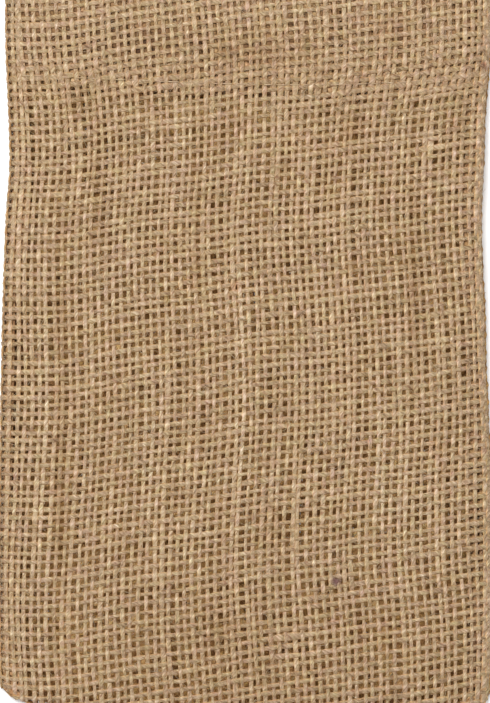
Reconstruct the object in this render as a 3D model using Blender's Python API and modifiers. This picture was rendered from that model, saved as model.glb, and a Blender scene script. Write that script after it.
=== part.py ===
"""A small hessian sack of woven jute, lying empty on its back.

The sack is one strip of cloth, folded across at the bottom, closed down both sides by seams that are
turned inside, and finished at the mouth with a hem that is turned in. It rests on the plane z = 0 with
its back flat, its front a little puffed, and its mouth towards +Y. Units are metres.
"""

import math

import bmesh
import bpy
import numpy as np

# Driving sizes
SACK_LENGTH = 0.228  # from the bottom fold to the mouth's edge
BOTTOM_Y = -0.1143  # the bottom fold's place, with the origin under the sack's middle
HALF_WIDTH = 0.075  # near enough, for sizes that are shares of it
CLOTH_THICKNESS = 0.0012  # two crossed yarns, flattened
HEM_DEPTH = 0.032  # from the mouth's edge to the hem's stitched line
HEM_GAP = 0.0004  # air between the hem's two layers
SIDE_RIM_HEIGHT = 0.0038  # the side seams' height above the floor
FOLD_RIM_HEIGHT = 0.0024  # the bottom fold's height above the floor
RIM_RISE_LENGTH = 0.012  # over which the rim climbs from the fold to the side seams
BACK_EDGE_WIDTH = 0.0038  # the strip of the back that curls up to the rim
BOTTOM_SLOPE_LENGTH = 0.042  # over which the front falls to the bottom fold
MOUTH_SAG = 0.0040  # how far the front's hem hangs short of the back's
STITCH_GROOVE_DEPTH = 0.0005  # how far the hem's stitches draw the front in
STITCH_GROOVE_WIDTH = 0.0035

# The front's cross section is (1 - |across| ** SECTION_POWER) ** SECTION_ROUNDING of its height.
SECTION_POWER = 2.2
SECTION_ROUNDING = 0.40

# Outline and height by the distance from the bottom fold: where the left and the right edge lie from
# the centre line, and how high the cloth's middle layer stands in the centre of the front.
OUTLINE_COLUMNS = ("along", "left", "right", "crown")
OUTLINE = (
    (0.000, -0.0759, 0.0757, 0.0108),
    (0.040, -0.0763, 0.0761, 0.0122),
    (0.080, -0.0759, 0.0758, 0.0136),
    (0.107, -0.0754, 0.0745, 0.0139),
    (0.130, -0.0749, 0.0738, 0.0138),
    (0.155, -0.0739, 0.0732, 0.0134),
    (0.170, -0.0729, 0.0738, 0.0130),
    (0.190, -0.0733, 0.0745, 0.0121),
    (0.206, -0.0740, 0.0758, 0.0123),
    (0.228, -0.0741, 0.0762, 0.0131),
)

# How far the bottom fold lies above its lowest point, by the place across, -1 left to 1 right.
BOTTOM_COLUMNS = ("across", "rise")
BOTTOM_EDGE = (
    (-1.00, 0.0086),
    (-0.96, 0.0060),
    (-0.90, 0.0041),
    (-0.75, 0.0018),
    (-0.30, 0.0002),
    (0.30, 0.0000),
    (0.75, 0.0006),
    (0.93, 0.0019),
    (0.98, 0.0038),
    (1.00, 0.0060),
)

# Soft folds that run down the front: the place across at the fold's lower and upper end, its height
# (a trough is negative), its half width, and the stretch along the sack that it covers.
FOLD_COLUMNS = ("low_across", "high_across", "height", "half_width", "start", "end")
FRONT_FOLDS = (
    (-0.74, -0.70, -0.0007, 0.0070, 0.020, 0.120),
    (-0.42, -0.34, 0.0006, 0.0090, 0.110, 0.215),
    (-0.10, -0.20, -0.0006, 0.0075, 0.012, 0.150),
    (-0.03, -0.01, 0.0007, 0.0050, 0.050, 0.170),
    (0.20, 0.10, -0.0007, 0.0080, 0.015, 0.110),
    (0.02, 0.04, -0.0007, 0.0100, 0.180, 0.235),
    (0.66, 0.74, -0.0006, 0.0065, 0.080, 0.190),
    (0.82, 0.78, 0.0005, 0.0060, 0.040, 0.170),
)
FOLD_FADE = 0.018  # over which a fold rises and dies away at its ends

# Mesh density
RIM_WIDTH = 0.008  # along each side edge, where the columns draw together
RIM_CELLS = 6
MIDDLE_CELLS = 22
FOLD_STRETCH = 0.024  # above the bottom fold, where the rows draw together
FOLD_CELLS = 7
BODY_CELLS = 15
HEM_CELLS = 4
TURN_STEPS = 3  # in the half circle at the mouth's edge
CROWDING = 2.5  # power by which cells draw together towards an edge
WELD_DISTANCE = 1e-6

JUTE_COLOUR = (0.462, 0.323, 0.184, 1.0)


def hermite(table, columns, column, at):
    """The smooth curve through one column of a table, read at the places `at` along its first column."""
    rows = np.array(table)
    stations = rows[:, 0]
    values = rows[:, columns.index(column)]
    slopes = np.gradient(values, stations)
    at = np.clip(at, stations[0], stations[-1])
    left = np.clip(np.searchsorted(stations, at, side="right") - 1, 0, len(stations) - 2)
    span = stations[left + 1] - stations[left]
    t = (at - stations[left]) / span
    return (
        (2 * t**3 - 3 * t**2 + 1) * values[left]
        + (t**3 - 2 * t**2 + t) * span * slopes[left]
        + (3 * t**2 - 2 * t**3) * values[left + 1]
        + (t**3 - t**2) * span * slopes[left + 1]
    )


def smoothstep(x):
    x = np.clip(x, 0.0, 1.0)
    return x * x * (3 - 2 * x)


def rim_height(along):
    """Height of the cloth's middle layer where front and back meet."""
    climb = 1 - np.exp(-along / RIM_RISE_LENGTH)
    return FOLD_RIM_HEIGHT + (SIDE_RIM_HEIGHT - FOLD_RIM_HEIGHT) * climb


def plan(across, along, sag_share):
    """X and Y of a point of the sack seen from above."""
    left = hermite(OUTLINE, OUTLINE_COLUMNS, "left", along)
    right = hermite(OUTLINE, OUTLINE_COLUMNS, "right", along)
    x = (left + right) / 2 + across * (right - left) / 2
    rise = hermite(BOTTOM_EDGE, BOTTOM_COLUMNS, "rise", across)
    sag = MOUTH_SAG * (1 - across**2) * (1 + 0.5 * across) * (along / SACK_LENGTH) ** 2
    y = BOTTOM_Y + along + rise * np.exp(-along / BOTTOM_SLOPE_LENGTH) - sag_share * sag
    return x, y


def fold_relief(across, along):
    """Sum of the soft folds: each is a bell across its line, faded in and out along it."""
    relief = np.zeros_like(across)
    for low_across, high_across, height, half_width, start, end in FRONT_FOLDS:
        share = np.clip((along - start) / (end - start), 0, 1)
        line = low_across + (high_across - low_across) * share
        offset = (across - line) * HALF_WIDTH / half_width
        fade = smoothstep((along - start) / FOLD_FADE) * smoothstep((end - along) / FOLD_FADE)
        relief += height * np.exp(-(offset**2)) * fade
    return relief


def front_layer(across, along):
    """The front's middle layer: its section's arch, lowered towards the bottom fold, plus the folds."""
    x, y = plan(across, along, 1.0)
    rim = rim_height(along)
    crown = hermite(OUTLINE, OUTLINE_COLUMNS, "crown", along)
    arch = (1 - np.abs(across) ** SECTION_POWER) ** SECTION_ROUNDING
    from_slope = np.clip(1 - along / BOTTOM_SLOPE_LENGTH, 0, 1)
    fall = (1 - from_slope**SECTION_POWER) ** SECTION_ROUNDING
    groove_offset = (along - (SACK_LENGTH - HEM_DEPTH)) / STITCH_GROOVE_WIDTH
    groove = STITCH_GROOVE_DEPTH * np.exp(-(groove_offset**2))
    z = rim + (crown - rim + fold_relief(across, along) - groove) * arch * fall
    return np.stack([x, y, z], axis=-1)


def back_layer(across, along):
    """The back's middle layer: flat on the floor, and curled up to the rim in a quarter ellipse."""
    x, y = plan(across, along, 0.0)
    half_width = (hermite(OUTLINE, OUTLINE_COLUMNS, "right", along)
                  - hermite(OUTLINE, OUTLINE_COLUMNS, "left", along)) / 2
    side_curl = np.clip(1 - (1 - np.abs(across)) * half_width / BACK_EDGE_WIDTH, 0, 1)
    fold_curl = np.clip(1 - along / BACK_EDGE_WIDTH, 0, 1)
    flat_share = np.sqrt(1 - side_curl**2) * np.sqrt(1 - fold_curl**2)
    floor_height = CLOTH_THICKNESS / 2
    z = floor_height + (rim_height(along) - floor_height) * (1 - flat_share)
    return np.stack([x, y, z], axis=-1)


def outward_normals(layer, facing):
    """Unit normals of a grid of points, out of the sack; `facing` is 1 on the front, -1 on the back."""
    down_the_rows = np.gradient(layer, axis=0)
    across_the_rows = np.gradient(layer, axis=1)
    normals = facing * np.cross(across_the_rows, down_the_rows)
    normals /= np.linalg.norm(normals, axis=-1, keepdims=True)
    normals[:, 0] = (-1, 0, 0)
    normals[:, -1] = (1, 0, 0)
    return normals


def with_turned_hem(layer, facing):
    """The layer's rows, the half circle at the mouth's edge, and the hem's inner layer to its stitches."""
    spacing = CLOTH_THICKNESS + HEM_GAP
    normals = outward_normals(layer, facing)
    edge = layer[-1]
    edge_normal = normals[-1]
    forward = layer[-1] - layer[-2]
    forward /= np.linalg.norm(forward, axis=-1, keepdims=True)
    centre = edge - edge_normal * spacing / 2
    turn = [
        centre + (edge_normal * math.cos(angle) + forward * math.sin(angle)) * spacing / 2
        for angle in np.linspace(0, math.pi, TURN_STEPS + 1)[1:]
    ]
    inner = [layer[-1 - row] - normals[-1 - row] * spacing for row in range(1, HEM_CELLS + 1)]
    return np.concatenate([layer, turn, inner])


def crowded(length, cells):
    """Distances from an edge, in cells that grow away from it."""
    return length * (np.arange(cells + 1) / cells) ** CROWDING


def panel_grid():
    """Places across and along of the panel's rows and columns."""
    rim = 1 - crowded(RIM_WIDTH / HALF_WIDTH, RIM_CELLS)
    middle = np.linspace(-rim[-1], rim[-1], MIDDLE_CELLS + 1)[1:-1]
    columns = np.concatenate([-rim, middle, rim[::-1]])
    stitches = SACK_LENGTH - HEM_DEPTH
    fold = crowded(FOLD_STRETCH, FOLD_CELLS)
    body = np.linspace(FOLD_STRETCH, stitches, BODY_CELLS + 1)[1:]
    hem = np.linspace(stitches, SACK_LENGTH, HEM_CELLS + 1)[1:]
    rows = np.concatenate([fold, body, hem])
    return np.meshgrid(columns, rows)


def add_sheet(mesh, points, facing):
    """Lays a bmesh grid through the given rows of points, its faces out of the sack."""
    rows, columns = points.shape[:2]
    grid = bmesh.ops.create_grid(mesh, x_segments=columns - 1, y_segments=rows - 1, size=1)
    for vertex in grid["verts"]:
        column = round((vertex.co.x + 1) / 2 * (columns - 1))
        row = round((vertex.co.y + 1) / 2 * (rows - 1))
        vertex.co = points[row, column]
    if facing < 0:
        faces = list({face for vertex in grid["verts"] for face in vertex.link_faces})
        bmesh.ops.reverse_faces(mesh, faces=faces)


def jute_material():
    material = bpy.data.materials.new("jute_hessian")
    material.use_nodes = True
    shader = material.node_tree.nodes["Principled BSDF"]
    shader.inputs["Base Color"].default_value = JUTE_COLOUR
    shader.inputs["Roughness"].default_value = 0.92
    shader.inputs["Metallic"].default_value = 0.0
    material.diffuse_color = JUTE_COLOUR
    return material


def build_sack_cloth(collection):
    """The sack's strip of cloth: two sheets welded along the sides and the fold, given a thickness."""
    across, along = panel_grid()
    mesh = bmesh.new()
    add_sheet(mesh, with_turned_hem(front_layer(across, along), 1), 1)
    add_sheet(mesh, with_turned_hem(back_layer(across, along), -1), -1)
    bmesh.ops.remove_doubles(mesh, verts=mesh.verts, dist=WELD_DISTANCE)
    data = bpy.data.meshes.new("sack_cloth")
    mesh.to_mesh(data)
    mesh.free()
    data.shade_smooth()
    data.materials.append(jute_material())
    sack = bpy.data.objects.new("sack_cloth", data)
    collection.objects.link(sack)
    thickness = sack.modifiers.new("Cloth thickness", "SOLIDIFY")
    thickness.thickness = CLOTH_THICKNESS
    thickness.offset = 0.0
    thickness.use_even_offset = True
    return sack


def main():
    for obj in list(bpy.data.objects):
        bpy.data.objects.remove(obj)
    collection = bpy.data.collections.new("jute_sack")
    bpy.context.scene.collection.children.link(collection)
    build_sack_cloth(collection)


main()
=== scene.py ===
import math

import bpy
import numpy as np
from bpy.props import FloatProperty, FloatVectorProperty, IntProperty, PointerProperty
from bpy.types import Operator, Panel, PropertyGroup
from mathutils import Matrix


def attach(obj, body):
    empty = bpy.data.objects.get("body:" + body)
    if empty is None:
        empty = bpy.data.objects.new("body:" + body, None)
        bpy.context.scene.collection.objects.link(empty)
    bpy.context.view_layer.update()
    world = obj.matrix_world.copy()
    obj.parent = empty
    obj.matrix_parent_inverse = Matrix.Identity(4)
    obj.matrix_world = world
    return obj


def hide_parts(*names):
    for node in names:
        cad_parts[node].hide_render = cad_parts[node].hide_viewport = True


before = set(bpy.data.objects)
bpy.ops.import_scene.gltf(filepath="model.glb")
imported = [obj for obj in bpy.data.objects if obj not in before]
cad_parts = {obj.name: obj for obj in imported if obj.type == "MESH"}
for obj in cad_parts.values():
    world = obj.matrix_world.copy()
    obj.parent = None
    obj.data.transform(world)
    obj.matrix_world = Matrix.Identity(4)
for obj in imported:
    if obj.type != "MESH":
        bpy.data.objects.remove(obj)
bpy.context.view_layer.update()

bl_info = {
    "name": "Hessian sack",
    "version": (1, 0, 0),
    "blender": (4, 5, 0),
    "location": "3D View > Sidebar > Hessian sack",
    "description": "Weaves a small jute sack, thread by thread, in the shape of its packed part",
    "category": "Add Mesh",
}

BODY = "root"
CLOTH_NODE = "sack_cloth"
MM = 0.001
SEED = 41  # of the crossings, to which each later random step adds its own number


def linear(hex_colour):
    """Linear RGB of an sRGB hex colour: c / 12.92 up to 0.04045, and ((c + 0.055) / 1.055) ** 2.4 above."""
    channels = np.array([int(hex_colour[i : i + 2], 16) / 255 for i in (1, 3, 5)])
    low, high = channels / 12.92, ((channels + 0.055) / 1.055) ** 2.4
    return tuple(float(c) for c in np.where(channels <= 0.04045, low, high))


# ---------------------------------------------------------------------------------------------
# The sack's form, as the part has it: one strip of cloth, folded at the bottom.

SACK_LENGTH = 0.228
BOTTOM_Y = -0.1143
HALF_WIDTH = 0.075
CLOTH_THICKNESS = 0.0012
FLOOR_GAP = 0.00005  # under the lowest yarns, which the floor flattens
SIDE_RIM_HEIGHT = 0.0038
FOLD_RIM_HEIGHT = 0.0024
RIM_RISE_LENGTH = 0.012
BACK_EDGE_WIDTH = 0.0038
BOTTOM_SLOPE_LENGTH = 0.042
MOUTH_SAG = 0.0040
MOUTH_SAG_LEAN = 0.5  # how much more it sags towards the right
STITCH_GROOVE_DEPTH = 0.0005
STITCH_GROOVE_WIDTH = 0.0035
SECTION_POWER = 2.2
SECTION_ROUNDING = 0.40

# Where the left and right edge lie, and how high the front's centre stands, along the sack.
OUTLINE_COLUMNS = ("along", "left", "right", "crown")
OUTLINE = (
    (0.000, -0.0759, 0.0757, 0.0108),
    (0.040, -0.0763, 0.0761, 0.0122),
    (0.080, -0.0759, 0.0758, 0.0136),
    (0.107, -0.0754, 0.0745, 0.0139),
    (0.130, -0.0749, 0.0738, 0.0138),
    (0.155, -0.0739, 0.0732, 0.0134),
    (0.170, -0.0729, 0.0738, 0.0130),
    (0.190, -0.0733, 0.0745, 0.0121),
    (0.206, -0.0740, 0.0758, 0.0123),
    (0.228, -0.0741, 0.0762, 0.0131),
)

# How far the bottom fold lies above its lowest point, across the sack.
BOTTOM_COLUMNS = ("across", "rise")
BOTTOM_EDGE = (
    (-1.00, 0.0086),
    (-0.96, 0.0060),
    (-0.90, 0.0041),
    (-0.75, 0.0018),
    (-0.30, 0.0002),
    (0.30, 0.0000),
    (0.75, 0.0006),
    (0.93, 0.0019),
    (0.98, 0.0038),
    (1.00, 0.0060),
)

# Soft folds down the front: place across at the low and the high end, height, half width, start and end.
FRONT_FOLDS = (
    (-0.74, -0.70, -0.0007, 0.0070, 0.020, 0.120),
    (-0.42, -0.34, 0.0006, 0.0090, 0.110, 0.215),
    (-0.10, -0.20, -0.0006, 0.0075, 0.012, 0.150),
    (-0.03, -0.01, 0.0007, 0.0050, 0.050, 0.170),
    (0.20, 0.10, -0.0007, 0.0080, 0.015, 0.110),
    (0.02, 0.04, -0.0007, 0.0100, 0.180, 0.235),
    (0.66, 0.74, -0.0006, 0.0065, 0.080, 0.190),
    (0.82, 0.78, 0.0005, 0.0060, 0.040, 0.170),
)
FOLD_FADE = 0.018

# Small unevenness of the lying cloth: how high, and the waves' lengths across and along, and phases.
COCKLE_HEIGHT = 0.00022
COCKLE_WAVES = (
    (0.019, 0.031, 0.0),
    (0.027, -0.022, 1.7),
    (0.013, 0.047, 4.1),
)

# What the woven cloth adds to the part's form.
SEAM_GAP = 0.0013  # how far front and back each stand off the side seam
LEAST_SEAM_GAP = 0.0002
SEAM_OPENING_LENGTH = 0.008  # over which they part, from the bottom fold up
HEM_DEPTH = 0.032
HEM_TURN_RADIUS = 0.00042
HEM_LAYER_DEPTH = 0.0020  # of the hem's inner layer at its stitches
HEM_UNDER_DEPTH = 0.0010  # of the raw edge, tucked between the layers
HEM_UNDER_LENGTH = 0.0055
HEM_EASE_LENGTH = 0.012

# How far the warps drift to the right of straight lines, along the sack, in three places across.
DRIFT_COLUMNS = ("along", "left", "middle", "right")
WARP_DRIFT = (
    (0.006, -0.0005, 0.0010, 0.0010),
    (0.028, -0.0012, -0.0005, 0.0004),
    (0.050, -0.0005, -0.0011, -0.0011),
    (0.073, 0.0004, -0.0002, -0.0009),
    (0.095, 0.0013, 0.0010, 0.0005),
    (0.118, 0.0007, 0.0010, 0.0008),
    (0.140, -0.0001, 0.0001, 0.0001),
    (0.162, -0.0003, -0.0006, -0.0009),
    (0.185, -0.0003, -0.0003, -0.0007),
    (0.207, -0.0017, -0.0004, 0.0006),
    (0.228, -0.0026, -0.0020, 0.0003),
)
DRIFT_PLACE = 0.6  # the left and right columns' place across
DRIFT_HOLD = 0.12  # next to the side edges the warps keep straight

# The wefts lie askew: level at the left edge, and climbing to the right at these slopes.
SLOPE_COLUMNS = ("place", "slope")
WEFT_SLOPES = (
    (-0.090, 0.000),
    (-0.067, 0.010),
    (-0.060, 0.052),
    (-0.054, 0.115),
    (-0.047, 0.164),
    (-0.036, 0.152),
    (-0.023, 0.106),
    (-0.005, 0.162),
    (0.014, 0.087),
    (0.032, 0.140),
    (0.042, 0.107),
    (0.057, 0.151),
    (0.075, 0.135),
    (0.090, 0.135),
)
CLIMB_STEP = 0.0005  # for adding up the slopes

# The seam draws one more warp up against the right edge, and eases the last ones off the left edge.
RIGHT_EDGE_PITCH = 0.00105
LEFT_EDGE_PITCH = 0.0022
LEFT_EASE = 0.00065
LEFT_EASE_START = 0.062

# The wefts lie further apart low down, by this share at the bottom fold, which fades out this far up.
LOW_SPREAD = 0.100
LOW_LENGTH = 0.075

# Where the cloth turns down and under at the bottom fold, they lie closer in plan.
FOLD_CROWDING = 0.0020
FOLD_CROWDING_LENGTH = 0.0035

# Past the bottom fold, and again inside the hem, the warps slip sideways from those above them; in the hem
# by this much more or less in waves. Each slip grows over its length.
BACK_SLIP = 0.00117
BACK_SPREAD = 0.007
BACK_SLIP_LENGTH = 0.005
HEM_SLIP = 0.00117
HEM_SLIP_LENGTH = 0.006
HEM_SLIP_WAVE = 0.0004
HEM_SLIP_WAVE_LENGTH = 0.043
UNDER_SLIP = -0.0013
UNDER_SLIP_LENGTH = 0.002

# How unevenly the yarns lie, in shares of their pitch: from yarn to yarn, and along each, wandering over so
# many crossings; and bands in which the wefts lie closer, so many crossings wide and so many warps long.
WARP_UNEVEN = 0.050
WARP_WANDER = 0.080
WARP_WANDER_REACH = 4.0
WEFT_UNEVEN = 0.030
WEFT_WANDER = 0.066
WEFT_WANDER_REACH = 3.5
BAND_SHARE = 0.12
BAND_REACH = 7.0
BAND_LENGTH = 11.0
STRAIGHT_EDGE = 0.006  # over which the side edge takes the warps' unevenness away

# How a yarn's thickness varies, in shares of it: from yarn to yarn, slowly along it, and finely, over so many
# samples; and its slubs, where a slow noise rises over a threshold.
YARN_SWELL = 0.075
SLOW_SWELL = 0.090
SLOW_SWELL_REACH = 7.0
FINE_SWELL = 0.085
FINE_SWELL_REACH = 1.6
SWELL_LIMITS = (-0.25, 0.30)
SLUB_SHARE = 0.5
SLUB_REACH = 4.0
SLUB_THRESHOLD = 2.4
SWELL_IN_HEIGHT = 0.5  # share of a swelling that shows in a yarn's height
CROWN_WIDTH = 1.09  # a yarn spreads where it lies on top or below,
HOLLOW_WIDTH = 0.90  # and draws in between
STRETCH_LIMITS = (0.8, 1.5)  # of the widths, where the strip's own coordinates are drawn out

WARP_TINT = (1.0, 1.0, 1.0)
WEFT_TINT = (0.90, 0.89, 0.86)  # the wefts darker by this
HEM_PAINTED_SHADE_TINT = (0.56, 0.42, 0.27)  # the hem's turned-in layers are darkened and dulled: painted shade where they show through the front's holes
SEAM_PAINTED_SHADE_TINT = (1.02, 0.82, 0.60)  # the allowances less so, as the edges open on them; painted shade as well
PLAIN_JUTE = "#C0A280"  # the cloth's mean colour, which the marks are set against

CROWN_WEAR_AND_HIGHLIGHT = 1.06  # the yarns' crowns are lighter: worn pale, and a painted highlight where they stand up into the light,
CROWN_CONTRAST = 0.045  # the warps' crowns more than the wefts',
HOLLOW_PAINTED_SHADE = 0.84  # and between them the yarns are darker: painted shade where they dip between their neighbours

INSIDE_TOP = 0.0040  # the back's inner side lies below this,
INSIDE_REACH = 0.0690  # and within this of the centre line
INSIDE_PAINTED_LIGHTENING = 0.06  # it is lighter by this, painted light where it shows through the front's holes,
INSIDE_UNEVEN = 0.30  # and lint, and painted light and shade, lie unevenly on it,
INSIDE_UNEVEN_REACH = 1.5  # over so many samples of a yarn
INSIDE_LIMITS = (-0.5, 0.8)

DEEPENING = (1.0, 1.2, 1.5)  # powers of a change of tone: red keeps more of itself as a tone darkens, so that random tone and painted shade turn warm as jute in shade does,
PATCH_DEEPENING = (0.9, 1.25, 1.8)  # and more still in the patches

FRONT_TUCK = 0.004  # how far the front's pieces reach round the fold

# How much fuller the yarns lie on the flat back, and inside the hem and the seams, than on the front.
BACK_FULLNESS = 1.65
BACK_RIM_FULLNESS = 0.15  # more, near the back's edges
BACK_RIM_WIDTH = 0.016
HEM_FULLNESS = 1.74
TUCK_FULLNESS = 1.80
FRONT_HEM_FULLNESS = 0.08
STITCHED_FULLNESS = 0.26  # more, where the stitches pinch the front's hem
STITCHED_WIDTH = 0.0035
SEAM_FULLNESS = 1.25
BACK_FADE = 0.005  # over which each of these sets in
BACK_RIM_FADE = 0.006
HEM_FADE = 0.004
TUCK_FADE = 0.003
SEAM_FADE = 0.001

# How far the seam allowances reach inwards: wide low down on the right, and trimmed short under the hem.
NARROW_ALLOWANCE = 0.0052
WIDE_ALLOWANCE = 0.0066
WIDE_ALLOWANCE_END = 0.088
HEM_ALLOWANCE = 0.0006

# Sides of the tubes: most where they show from close by.
FRONT_SIDES = 8
HEM_SIDES = 6
THREAD_SIDES = 6
BACK_SIDES = 5
SEAM_SIDES = 5
FIBRE_SIDES = 3

# The sewing thread
THREAD_RADIUS = 0.00021
STITCH_LENGTH = 0.0042
STITCH_SHARPNESS = 8  # power of the cosine by which it dips at a stitch's ends
HEM_STITCH_INSET = 0.0028  # above the hem's inner edge
HEM_THREAD_INSET = 0.004  # from the side edges
HEM_THREAD_STEP = 0.0004
THREAD_LIFT = 0.00034  # over the middle of the cloth
THREAD_LIFT_BELOW = 0.00030
THREAD_DIP = 0.0012
SEAM_THREAD_PLACE = 0.62  # round the turned edge
SEAM_THREAD_START = 0.012
SEAM_THREAD_INSET = 0.006  # below the mouth
SEAM_THREAD_STEP = 0.0006

# Fibres that lie on the yarns: samples of each, the turns round the yarn between which they start, how far
# they creep from sample to sample in radians, and how far off the yarn's middle they lie in half heights.
FIBRE_SAMPLES = 4
FIBRE_TURNS = (0.12, 0.88)
FIBRE_CREEP = 0.22
FIBRE_LIFT = 1.08
FIBRE_RADII = (0.00005, 0.00009)
FIBRE_TAPER = (0.6, 1.0, 1.0, 0.6)
FIBRE_SHADES = (0.85, 1.45)

# Stray fibres: shares of them at the side edges and on the back, and their ranges and means.
STRAY_SAMPLES = 4
EDGE_SHARE = 0.10
REAR_SHARE = 0.10
EDGE_INSETS = (0.0002, 0.0015)
STRAY_INSET = 0.0012  # of the others from the side edges
STRAY_END_INSET = 0.002  # from the bottom fold and the mouth
STRAY_LENGTH = 0.0016  # at the least
STRAY_LENGTH_MORE = 0.0022  # on average
STRAY_LENGTH_MOST = 0.011
EDGE_LENGTH_SHARE = 0.6
STRAY_BEND = 0.9
STRAY_LIFTS = (-0.0001, 0.0006)
STRAY_RISE = 0.0003  # of the lifted end, on average
STRAY_TOP = 0.0016
REAR_LIFT_MOST = 0.0004  # on the back, which lies on the floor
REAR_TOP = 0.0005
STRAY_RADII = (0.00004, 0.000085)
STRAY_SHADES = (0.75, 1.10)
STRAY_THINNING = 1.2
STRAY_CENTRE = 0.08  # keeps a bent fibre's middle on its place

# Some of them are short, thick, dull tufts, pressed into the cloth.
TUFT_SHARE = 0.16
TUFT_THICKNESS = 2.4
TUFT_SHADE = 0.8
TUFT_LENGTH_MOST = 0.0025
TUFT_LIFTS = (-0.0003, -0.0001)

# Soft darker and lighter patches of the front: place, half sizes, and how much lighter.
PATCHES = (
    (-0.004, -0.093, 0.022, 0.014, -0.07),
    (0.030, -0.104, 0.050, 0.008, -0.04),
    (-0.008, -0.087, 0.0050, 0.0060, -0.13),
    (0.042, -0.089, 0.0060, 0.0060, -0.09),
    (0.011, -0.057, 0.0060, 0.0080, -0.08),
    (-0.057, -0.050, 0.0022, 0.0300, -0.19),
    (-0.057, 0.009, 0.0022, 0.0300, -0.16),
    (-0.046, 0.048, 0.0025, 0.0170, -0.13),
    (-0.015, 0.042, 0.0020, 0.0340, -0.12),
    (0.052, 0.020, 0.0020, 0.0420, -0.14),
    (0.002, 0.092, 0.015, 0.006, -0.15),
    (0.046, 0.098, 0.0050, 0.0060, -0.12),
    (0.067, 0.068, 0.0040, 0.0060, -0.11),
    (-0.050, 0.075, 0.0060, 0.0070, -0.10),
    (-0.002, 0.070, 0.0050, 0.0060, -0.08),
    (0.033, 0.067, 0.0050, 0.0070, -0.15),
    (0.025, 0.058, 0.0018, 0.0120, -0.12),
    (0.012, 0.056, 0.0025, 0.0035, -0.13),
    (0.000, 0.0820, 1.000, 0.0055, -0.06),
    (-0.001, -0.012, 0.0010, 0.0540, 0.17),
    (-0.021, 0.061, 0.0014, 0.0180, 0.13),
    (-0.030, -0.030, 0.0014, 0.0220, 0.13),
    (0.042, -0.035, 0.0012, 0.0200, 0.14),
    (0.023, 0.016, 0.0014, 0.0120, 0.12),
    (-0.062, -0.030, 0.0016, 0.0520, 0.12),
    (-0.045, 0.020, 0.018, 0.012, 0.04),
    (0.052, -0.050, 0.016, 0.030, 0.04),
)

# The same for the cloth that shows through the front's holes, the hem's layers and the back's inner side:
# painted light and shade; on the back's inner side painted light along the hem's edge, where the hem casts
# its shadow.
HEM_PAINTED_LIGHT_AND_SHADE_PATCHES = (
    (0.000, 0.0840, 1.000, 0.0050, 1.05),
    (-0.056, 0.0830, 0.020, 0.0040, 0.40),
    (0.045, 0.0925, 0.030, 0.0050, 0.30),
    (-0.050, 0.0940, 0.030, 0.0050, -0.65),
    (0.025, 0.1050, 0.055, 0.0050, 0.35),
)
INSIDE_PAINTED_LIGHT_PATCHES = (
    (0.000, 0.0782, 1.000, 0.0030, 0.90),
    (0.020, 0.0770, 0.060, 0.0055, 1.25),
)

# Small coloured marks, each a tuft of other fibre: place, radius, sRGB colour and strength.
MARKS = (
    (0.0280, -0.0723, 0.0014, "#8C615A", 1.00),
    (0.0294, -0.0728, 0.0008, "#7A4636", 0.80),
    (-0.0030, 0.0190, 0.0016, "#C08A68", 0.45),
    (0.0738, 0.0877, 0.0011, "#8A5540", 0.75),
    (-0.0242, 0.0152, 0.0011, "#B89B4E", 0.60),
    (0.0585, -0.0320, 0.0030, "#B98A68", 0.35),
)
MARK_FLOOR = 0.0045  # they lie on the front, above this
MARK_FIBRES = 40  # stray fibres in the first mark's tuft, drawn together there
MARK_SPREAD = 0.45  # of its radius
MARK_FIBRE_RADIUS = 0.00013
MARK_FIBRE_LENGTH = 0.0016
MARK_FIBRE_LIFTS = (0.0001, 0.0004)


def hermite(table, columns, column, at):
    """Smooth curve through a table's column: cubic Hermite, its slopes from neighbouring rows."""
    rows = np.array(table)
    stations = rows[:, 0]
    values = rows[:, columns.index(column)]
    slopes = np.gradient(values, stations)
    at = np.clip(at, stations[0], stations[-1])
    left = np.clip(np.searchsorted(stations, at, side="right") - 1, 0, len(stations) - 2)
    span = stations[left + 1] - stations[left]
    t = (at - stations[left]) / span
    return (
        (2 * t**3 - 3 * t**2 + 1) * values[left]
        + (t**3 - 2 * t**2 + t) * span * slopes[left]
        + (3 * t**2 - 2 * t**3) * values[left + 1]
        + (t**3 - t**2) * span * slopes[left + 1]
    )


def smoothstep(x):
    """3 x^2 - 2 x^3, held at 0 and 1 outside."""
    x = np.clip(x, 0.0, 1.0)
    return x * x * (3 - 2 * x)


def rim_height(along):
    """Height of the side seam: from the fold's to the side's, by 1 - exp(-along / length)."""
    climb = 1 - np.exp(-along / RIM_RISE_LENGTH)
    return FOLD_RIM_HEIGHT + (SIDE_RIM_HEIGHT - FOLD_RIM_HEIGHT) * climb


def seam_gap(along):
    """How far front or back stands off the seam: gap (1 - exp(-along / length))."""
    return SEAM_GAP * (1 - np.exp(-along / SEAM_OPENING_LENGTH))


def plan(across, along, sag_share):
    """X: between the edges' curves, by `across`. Y: `along` plus the fold's rise, less the mouth's sag."""
    left = hermite(OUTLINE, OUTLINE_COLUMNS, "left", along)
    right = hermite(OUTLINE, OUTLINE_COLUMNS, "right", along)
    x = (left + right) / 2 + across * (right - left) / 2
    rise = hermite(BOTTOM_EDGE, BOTTOM_COLUMNS, "rise", across)
    sag = MOUTH_SAG * (1 - across**2) * (1 + MOUTH_SAG_LEAN * across) * (along / SACK_LENGTH) ** 2
    y = BOTTOM_Y + along + rise * np.exp(-along / BOTTOM_SLOPE_LENGTH) - sag_share * sag
    return x, y


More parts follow.
